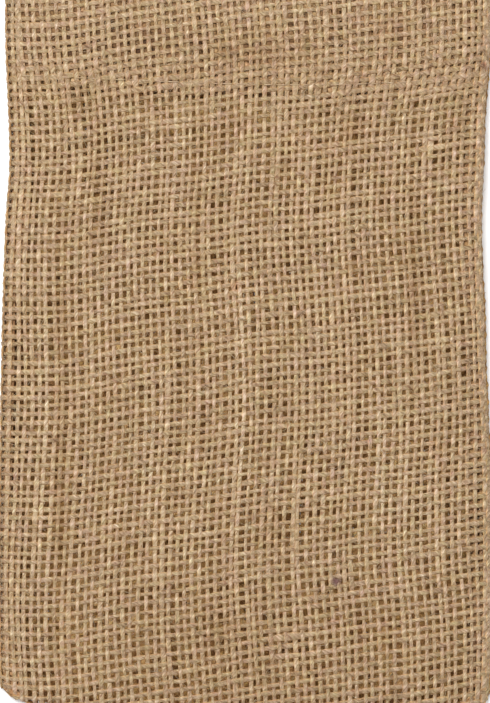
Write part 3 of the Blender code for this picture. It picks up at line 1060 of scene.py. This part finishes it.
def hem_stitches(front):
    """A row of lockstitches along the hem's inner edge. They lie on the cloth and go down through it at their
    ends: lift = top - dip |cos(pi p / stitch)|^sharpness."""
    p = np.arange(-EDGE_P + HEM_THREAD_INSET, EDGE_P - HEM_THREAD_INSET, HEM_THREAD_STEP)[None]
    q = np.full_like(p, SACK_LENGTH - HEM_DEPTH + HEM_STITCH_INSET) * (1 if front else -1)
    normals, _, _ = cloth_frame(p, q)
    top = THREAD_LIFT if front else THREAD_LIFT_BELOW
    lift = top - THREAD_DIP * np.abs(np.cos(math.pi * p / STITCH_LENGTH)) ** STITCH_SHARPNESS
    return cloth_point(p, q) + normals * lift[..., None], normals


def seam_stitches(side):
    """A thread that swings between the turned edges of front and back: (1 + sin(2 pi along / stitch)) / 2."""
    along = np.arange(SEAM_THREAD_START, SACK_LENGTH - SEAM_THREAD_INSET, SEAM_THREAD_STEP)[None]
    p = np.full_like(along, side * (EDGE_P + SEAM_THREAD_PLACE * SEAM_TURN_LENGTH))
    swing = (1 + np.sin(2 * math.pi * along / STITCH_LENGTH)) / 2
    upper, lower = cloth_point(p, along), cloth_point(p, -along)
    points = lower + (upper - lower) * swing[..., None]
    return points, np.broadcast_to(np.array([side, 0.0, 0.0]), points.shape)


# ---------------------------------------------------------------------------------------------
# Materials


def add_node(tree, kind, inputs=(), output=0, **settings):
    """Adds a shader node, sets its properties, and sets or links its inputs, given in order or by name.
    Returns its output of that number or name."""
    node = tree.nodes.new("ShaderNode" + kind)
    for key, value in settings.items():
        setattr(node, key, value)
    named = inputs if isinstance(inputs, dict) else dict(enumerate(inputs))
    for key, value in named.items():
        if isinstance(value, bpy.types.NodeSocket):
            tree.links.new(value, node.inputs[key])
        else:
            node.inputs[key].default_value = value
    return node.outputs[output]


TWIST_LENGTH = 0.0065  # one turn of the singles yarn, four to the inch
SLOW_LENGTH_MM = 11  # over which a yarn's tone drifts
YARN_SHIFT = 7.31  # from one yarn's pattern to the next's

# Streaks of fibre: how many a radian round the yarn, how long each in mm, and the noise's detail. Real fibres
# are 0.02 mm thick. These are drawn several times coarser, so that they show.
FIBRE_STREAKS = (1.9, 4.0, 1.0)
BUNDLE_STREAKS = (0.9, 1.0, 1.0)
BARK_STREAKS = (1.1, 2.2, 0.0)
PITH_STREAKS = (1.7, 1.3, 0.0)
HUE_STREAKS = (0.5, 1.8, 0.0)

# Range of each noise, and what it is drawn out to: change of tone, or share of the other colour.
FIBRE_TONE = (0.3, 0.7, 0.76, 1.24)
BUNDLE_TONE = (0.3, 0.7, -0.30, 0.30)
OWN_TONE = (0, 1, -0.07, 0.07)
SLOW_TONE = (0.3, 0.7, -0.10, 0.10)
# the jute colour on the yarns' top over the warmer flank colour: wear, and painted light and shade
WORN_AND_LIT_SHARE = (-0.1, 0.90, 0.0, 1.0)
BARK_SHARE = (0.70, 0.76, 0.0, 0.55)
PITH_RANGE = (0.70, 0.78)
PITH_SHARE = 0.5
SIDE_TONE = -0.07  # the twist turns one flank out of the light

YARN_HUES = (0.0, 0.17, 0.20)  # how far the colour channels stray along a yarn, as it retted unevenly,
PATCH_HUES = (0.0, 0.17, 0.27)  # and over patches of cloth
HUE_PATCH = 0.0040


def streaks(tree, place, around, along_mm, detail, output="Fac"):
    """Noise drawn out along the twisted fibres: `around` streaks a radian, each so long. `place` holds the
    cosine and sine of the twist's angle, the length along the yarn, and the yarn's own shift."""
    cosine, sine, length, shift = place
    x = add_node(tree, "Math", (cosine, around), operation="MULTIPLY")
    y = add_node(tree, "Math", (sine, around), operation="MULTIPLY")
    run = add_node(tree, "Math", (length, 1 / (along_mm * MM), shift), operation="MULTIPLY_ADD")
    vector = add_node(tree, "CombineXYZ", (x, y, run))
    inputs = {"Vector": vector, "Scale": 1.0, "Detail": detail, "Roughness": 0.6}
    return add_node(tree, "TexNoise", inputs, output)


def fibre_tone(tree, place, number, flank):
    """Change of tone over a yarn, and the bump's height: its fibres and bundles, its own tone, a slow drift
    along it, and its darker flank."""
    fibres = streaks(tree, place, *FIBRE_STREAKS)
    bundles = streaks(tree, place, *BUNDLE_STREAKS)
    own = add_node(tree, "TexWhiteNoise", {"W": number}, "Value", noise_dimensions="1D")
    run = add_node(tree, "Math", (place[2], 1 / (SLOW_LENGTH_MM * MM)), operation="MULTIPLY")
    slow_place = add_node(tree, "CombineXYZ", (run, place[3], 0.0))
    slow = add_node(tree, "TexNoise", {"Vector": slow_place, "Scale": 1.0, "Detail": 2.0}, "Fac")
    tone = add_node(tree, "MapRange", (fibres, *FIBRE_TONE))
    for noise, drawn in ((bundles, BUNDLE_TONE), (own, OWN_TONE), (slow, SLOW_TONE)):
        part = add_node(tree, "MapRange", (noise, *drawn))
        tone = add_node(tree, "Math", (tone, part), operation="ADD")
    tone = add_node(tree, "Math", (flank, SIDE_TONE, tone), operation="MULTIPLY_ADD")
    return tone, add_node(tree, "Math", (fibres, bundles), operation="ADD")


def fibre_colour(tree, place, worn_and_lit, colours, inner, paler):
    """Colour of the fibre before its tone: the worn top over the warmer inner side, which also paint lit and
    shaded jute, bark flecks, pale pith, the cloth's tints, and hues that stray along the yarn and over
    patches of cloth."""
    bark = add_node(tree, "MapRange", (streaks(tree, place, *BARK_STREAKS), *BARK_SHARE))
    pith_range = (*PITH_RANGE, paler, PITH_SHARE + paler)
    pith = add_node(tree, "MapRange", (streaks(tree, place, *PITH_STREAKS), *pith_range))
    colour = (*inner, 1)
    for share, over in ((worn_and_lit, colours.jute), (bark, colours.bark), (pith, colours.pale)):
        inputs = {"Factor": share, 6: colour, 7: (*over, 1)}
        colour = add_node(tree, "Mix", inputs, 2, data_type="RGBA")
    tint = add_node(tree, "Attribute", output="Vector", attribute_name="tint")
    colour = add_node(tree, "VectorMath", (colour, tint), operation="MULTIPLY")
    object_place = add_node(tree, "TexCoord", output="Object")
    spots = {"Vector": object_place, "Scale": 1 / HUE_PATCH, "Detail": 1.0}
    along_yarn = streaks(tree, place, *HUE_STREAKS, "Color")
    over_cloth = add_node(tree, "TexNoise", spots, "Color")
    for noise, strays in ((along_yarn, YARN_HUES), (over_cloth, PATCH_HUES)):
        least = [1 - 0.5 * width for width in strays]
        hue = add_node(tree, "VectorMath", (noise, strays, least), operation="MULTIPLY_ADD")
        colour = add_node(tree, "VectorMath", (colour, hue), operation="MULTIPLY")
    return colour


def jute_yarn(name, colours, inner, paler=0.0):
    """Singles of retted jute, softened with oil and spun hard: dull straw on the yarn's worn outer top, with
    streaks that follow the twist, and a warmer tan on its flank and inner side, the two colours painting lit
    and shaded jute as well; and a few brown bark flecks. It scatters light as dry fibre does, with a faint
    sheen from its loose ends and hardly any gloss."""
    if name in bpy.data.materials:
        return bpy.data.materials[name]
    material = bpy.data.materials.new(name)
    material.use_nodes = True
    tree = material.node_tree

    uv = add_node(tree, "UVMap", output="UV", uv_map="yarn")
    split = add_node(tree, "SeparateXYZ", (uv,)).node.outputs
    length, across = split["X"], split["Y"]
    number = add_node(tree, "Math", (across,), operation="FLOOR")
    turn = add_node(tree, "Math", (across,), operation="FRACT")
    twist = add_node(tree, "Math", (length, 1 / TWIST_LENGTH, turn), operation="MULTIPLY_ADD")
    shift = add_node(tree, "Math", (number, YARN_SHIFT), operation="MULTIPLY")
    angle, side = (add_node(tree, "Math", (t, 2 * math.pi), operation="MULTIPLY") for t in (twist, turn))
    cosine, flank = (add_node(tree, "Math", (a,), operation="COSINE") for a in (angle, side))
    sine, top = (add_node(tree, "Math", (a,), operation="SINE") for a in (angle, side))
    place = (cosine, sine, length, shift)

    # the yarn's top takes the jute colour, its flanks the warmer one: wear, and painted lit and shaded sides
    worn_and_lit = add_node(tree, "MapRange", (top, *WORN_AND_LIT_SHARE))
    colour = fibre_colour(tree, place, worn_and_lit, colours, inner, paler)
    tone, height = fibre_tone(tree, place, number, flank)
    deepened = add_node(tree, "VectorMath", (tone, DEEPENING), operation="POWER")
    surface = {
        "Base Color": add_node(tree, "VectorMath", (colour, deepened), operation="MULTIPLY"),
        "Normal": add_node(tree, "Bump", {"Strength": 0.7, "Distance": 0.12 * MM, "Height": height}),
    }
    shader = tree.nodes["Principled BSDF"]
    for socket, value in surface.items():
        tree.links.new(value, shader.inputs[socket])
    shader.inputs["Roughness"].default_value = 0.78
    shader.inputs["IOR"].default_value = 1.53  # cellulose
    shader.inputs["Specular IOR Level"].default_value = 0.3
    shader.inputs["Sheen Weight"].default_value = 0.12
    shader.inputs["Sheen Roughness"].default_value = 0.45
    shader.inputs["Sheen Tint"].default_value = (*colours.flank, 1)
    return material


def white_board(colour):
    """Matt white-painted board: plain and pale, so that it only catches the sack's soft shadow."""
    material = bpy.data.materials.new("matt_white_board")
    material.use_nodes = True
    shader = material.node_tree.nodes["Principled BSDF"]
    shader.inputs["Base Color"].default_value = (*colour, 1)
    shader.inputs["Roughness"].default_value = 0.9
    return material


# ---------------------------------------------------------------------------------------------
# The stage: floor, light and camera

FLOOR_SIZE = 3.0
ROOM_STRENGTH = 0.70
SOFTBOX_SIZE = 0.8
SOFTBOX_POWER = 24
SOFTBOX_PLACE = (-0.3, 0.45, 1.4)  # upper left, as the sack is seen
SENSOR_SIZE = 36
CAMERA_DISTANCE = 1.6
VIEW_LENGTH = 0.21793  # from the top to the bottom of the view,
VIEW_HEIGHT = 0.008  # as measured this high over the floor
VIEW_CENTRE_Y = -0.00124
NEAREST_SEEN = 0.05
FARTHEST_SEEN = 20


# ---------------------------------------------------------------------------------------------
# What a user would change


class SackSizes(PropertyGroup):
    """The cloth's threads and the number of its fibres"""

    warp_pitch: FloatProperty(
        name="Warp pitch",
        description="Between the threads that run up the sack",
        default=2.33 * MM,
        unit="LENGTH",
    )
    weft_pitch: FloatProperty(
        name="Weft pitch",
        description="Between the threads that run across",
        default=2.67 * MM,
        unit="LENGTH",
    )
    warp_width: FloatProperty(
        name="Warp width",
        description="Of a warp as it lies",
        default=1.40 * MM,
        unit="LENGTH",
    )
    weft_width: FloatProperty(
        name="Weft width",
        description="Of a weft as it lies",
        default=1.54 * MM,
        unit="LENGTH",
    )
    yarn_thickness: FloatProperty(
        name="Yarn thickness",
        description="Through the cloth",
        default=0.62 * MM,
        unit="LENGTH",
    )
    crimp: FloatProperty(
        name="Crimp",
        description="How far a yarn swings out at each crossing",
        default=0.22 * MM,
        unit="LENGTH",
    )
    seam_allowance: FloatProperty(
        name="Seam allowance",
        description="Turned in along each side",
        default=9.5 * MM,
        unit="LENGTH",
    )
    surface_fibres: IntProperty(
        name="Surface fibres",
        description="Lying along the front's yarns",
        default=5900,
    )
    stray_fibres: IntProperty(
        name="Stray fibres",
        description="On the front, the edges and the back",
        default=4800,
    )


class SackColours(PropertyGroup):
    """The jute's colours, and the floor's"""

    # jute on the yarns' worn outer top, greyer than the warmer flanks and inner side: their colours paint lit
    # and shaded jute as well
    jute: FloatVectorProperty(
        name="Jute",
        description="Rubbed outer side of the yarns",
        subtype="COLOR",
        default=linear("#A28A6D"),
    )
    flank: FloatVectorProperty(
        name="Flanks",
        description="Sides of the yarns",
        subtype="COLOR",
        default=linear("#BC8F5A"),
    )
    # its warm, light tan is painted light and shade: the warm colour of shade under the front, lightened
    # where the holes show it
    inner: FloatVectorProperty(
        name="Inner side",
        description="Inner side of the back's yarns",
        subtype="COLOR",
        default=linear("#C4985C"),
    )
    pale: FloatVectorProperty(
        name="Pale fibre",
        description="Bleached streaks and stray fibres",
        subtype="COLOR",
        default=linear("#C8B697"),
    )
    bark: FloatVectorProperty(
        name="Bark",
        description="Flecks of bark left on the fibre",
        subtype="COLOR",
        default=linear("#7E4F35"),
    )
    floor: FloatVectorProperty(
        name="Floor",
        description="The surface it lies on",
        subtype="COLOR",
        default=linear("#F8F8F8"),
    )


def settings(context):
    """The scene's sizes, and the jute of the front, the back, the cloth turned in and the fibres."""
    sizes, colours = context.scene.sack_sizes, context.scene.sack_colours
    jutes = {
        "front": jute_yarn("jute_front", colours, colours.flank),
        "back": jute_yarn("jute_back", colours, colours.inner),
        "turned_in": jute_yarn("jute_turned_in", colours, colours.jute),
        "fibre": jute_yarn("jute_fibre", colours, colours.flank, 0.45),
    }
    return sizes, jutes


def weave(context, part, runs_in, sides, jute, warp_tint, weft_tint, turned_in=False):
    """Makes the warps and the wefts of one part of the cloth: the stretches of yarn that run in it."""
    sizes, jutes = settings(context)
    return [
        yarn_mesh(f"{part}_{name}", yarns, runs_in(*yarns.place()), sides, jutes[jute], tint, turned_in)
        for name, yarns, tint in zip(("warps", "wefts"), make_yarns(sizes), (warp_tint, weft_tint))
    ]


class SACK_OT_front_cloth(Operator):
    """Weaves the sack's front"""

    bl_idname = "sack.front_cloth"
    bl_label = "Front cloth"

    def execute(self, context):
        warps, _ = weave(context, "front", on_front, FRONT_SIDES, "front", WARP_TINT, WEFT_TINT)
        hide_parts(CLOTH_NODE)
        return {"FINISHED"}


class SACK_OT_back_cloth(Operator):
    """Weaves the sack's back"""

    bl_idname = "sack.back_cloth"
    bl_label = "Back cloth"

    def execute(self, context):
        weave(context, "back", on_back, BACK_SIDES, "back", WARP_TINT, WEFT_TINT)
        return {"FINISHED"}


class SACK_OT_hem(Operator):
    """Weaves the hem's inner layer and its tucked raw edge, front and back"""

    bl_idname = "sack.hem"
    bl_label = "Hem"

    def execute(self, context):
        # the hem's yarns take its painted shade tint
        weave(context, "hem", in_hem, HEM_SIDES, "turned_in", HEM_PAINTED_SHADE_TINT, HEM_PAINTED_SHADE_TINT, turned_in=True)
        return {"FINISHED"}


class SACK_OT_seam_allowances(Operator):
    """Weaves the cloth that the side seams turn inside"""

    bl_idname = "sack.seam_allowances"
    bl_label = "Seam allowances"

    def execute(self, context):
        # the allowances' yarns take their painted shade tint
        weave(context, "seam", in_seam, SEAM_SIDES, "turned_in", SEAM_PAINTED_SHADE_TINT, SEAM_PAINTED_SHADE_TINT)
        return {"FINISHED"}


class SACK_OT_sewing(Operator):
    """Sews the hem down, front and back, and the turned edges of the sides together"""

    bl_idname = "sack.sewing"
    bl_label = "Sewing"

    def execute(self, context):
        jute = settings(context)[1]["turned_in"]
        rows = {
            "hem_thread_front": hem_stitches(True),
            "hem_thread_back": hem_stitches(False),
            "seam_thread_left": seam_stitches(-1),
            "seam_thread_right": seam_stitches(1),
        }
        for name, (points, normals) in rows.items():
            radius = np.full(points.shape[:2], THREAD_RADIUS)
            round_mesh(name, points, normals, radius, np.ones(1), THREAD_SIDES, jute)
        return {"FINISHED"}


class SACK_OT_surface_fibres(Operator):
    """Lays pale fibres along the front's yarns"""

    bl_idname = "sack.surface_fibres"
    bl_label = "Surface fibres"

    def execute(self, context):
        sizes, jutes = settings(context)
        random = np.random.default_rng(SEED + 3)
        half = sizes.surface_fibres // 2
        made = [fibres_on(yarns, on_front(*yarns.place()), half, random) for yarns in make_yarns(sizes)]
        points, normals = (np.concatenate(parts) for parts in zip(*made))
        count = len(points)
        radius = random.uniform(*FIBRE_RADII, (count, 1)) * np.array(FIBRE_TAPER)
        shades = random.uniform(*FIBRE_SHADES, count)
        round_mesh("surface_fibres", points, normals, radius, shades, FIBRE_SIDES, jutes["fibre"])
        return {"FINISHED"}


class SACK_OT_stray_fibres(Operator):
    """Scatters the short fibres that stand off the yarns, on the faces and out from the edges"""

    bl_idname = "sack.stray_fibres"
    bl_label = "Stray fibres"

    def execute(self, context):
        sizes, jutes = settings(context)
        fibres = stray_fibres(sizes.stray_fibres, np.random.default_rng(SEED + 2))
        fibre_mesh("stray_fibres", material=jutes["fibre"], **fibres)
        return {"FINISHED"}


class SACK_OT_stage(Operator):
    """Lays a pale floor and sets a soft light and the camera straight above the sack"""

    bl_idname = "sack.stage"
    bl_label = "Stage"

    def execute(self, context):
        scene = context.scene
        bpy.ops.mesh.primitive_plane_add(size=FLOOR_SIZE)
        floor = context.object
        floor.name = "floor"
        floor.data.materials.append(white_board(scene.sack_colours.floor))

        world = bpy.data.worlds.new("soft_room")
        world.use_nodes = True
        world.node_tree.nodes["Background"].inputs["Strength"].default_value = ROOM_STRENGTH
        world.node_tree.nodes["Background"].inputs["Color"].default_value = (1, 1, 1, 1)
        scene.world = world

        lamp = bpy.data.lights.new("softbox", "AREA")
        lamp.shape = "SQUARE"
        lamp.size = SOFTBOX_SIZE
        lamp.energy = SOFTBOX_POWER
        softbox = bpy.data.objects.new("softbox", lamp)
        softbox.location = SOFTBOX_PLACE
        softbox.rotation_euler = (-softbox.location).to_track_quat("-Z", "Y").to_euler()
        scene.collection.objects.link(softbox)

        camera = bpy.data.objects.new("camera", bpy.data.cameras.new("camera"))
        scene.collection.objects.link(camera)
        camera.data.sensor_fit = "AUTO"
        camera.data.sensor_width = SENSOR_SIZE
        camera.data.lens = SENSOR_SIZE * CAMERA_DISTANCE / VIEW_LENGTH
        camera.data.clip_start = NEAREST_SEEN
        camera.data.clip_end = FARTHEST_SEEN
        camera.location = (0, VIEW_CENTRE_Y, CAMERA_DISTANCE + VIEW_HEIGHT)
        scene.camera = camera
        scene.view_settings.view_transform = "Standard"
        return {"FINISHED"}


class SACK_PT_panel(Panel):
    """Sizes, colours and the steps that make the sack"""

    bl_label = "Hessian sack"
    bl_space_type = "VIEW_3D"
    bl_region_type = "UI"
    bl_category = "Hessian sack"

    def draw(self, context):
        for operator in OPERATORS:
            self.layout.operator(operator.bl_idname)
        for group in (context.scene.sack_sizes, context.scene.sack_colours):
            for name in group.__annotations__:
                self.layout.prop(group, name)


OPERATORS = (
    SACK_OT_front_cloth,
    SACK_OT_back_cloth,
    SACK_OT_hem,
    SACK_OT_seam_allowances,
    SACK_OT_sewing,
    SACK_OT_surface_fibres,
    SACK_OT_stray_fibres,
    SACK_OT_stage,
)
CLASSES = (SackSizes, SackColours, *OPERATORS, SACK_PT_panel)


def register():
    """Makes the classes known, with the sizes and colours kept on the scene."""
    for cls in CLASSES:
        bpy.utils.register_class(cls)
    bpy.types.Scene.sack_sizes = PointerProperty(type=SackSizes)
    bpy.types.Scene.sack_colours = PointerProperty(type=SackColours)


def unregister():
    """Takes back what register did."""
    del bpy.types.Scene.sack_colours
    del bpy.types.Scene.sack_sizes
    for cls in reversed(CLASSES):
        bpy.utils.unregister_class(cls)


def main():
    """Makes the sack and its stage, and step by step."""
    register()
    for operator in OPERATORS:
        getattr(bpy.ops.sack, operator.bl_idname.split(".")[1])()


if __name__ == "__main__":
    main()
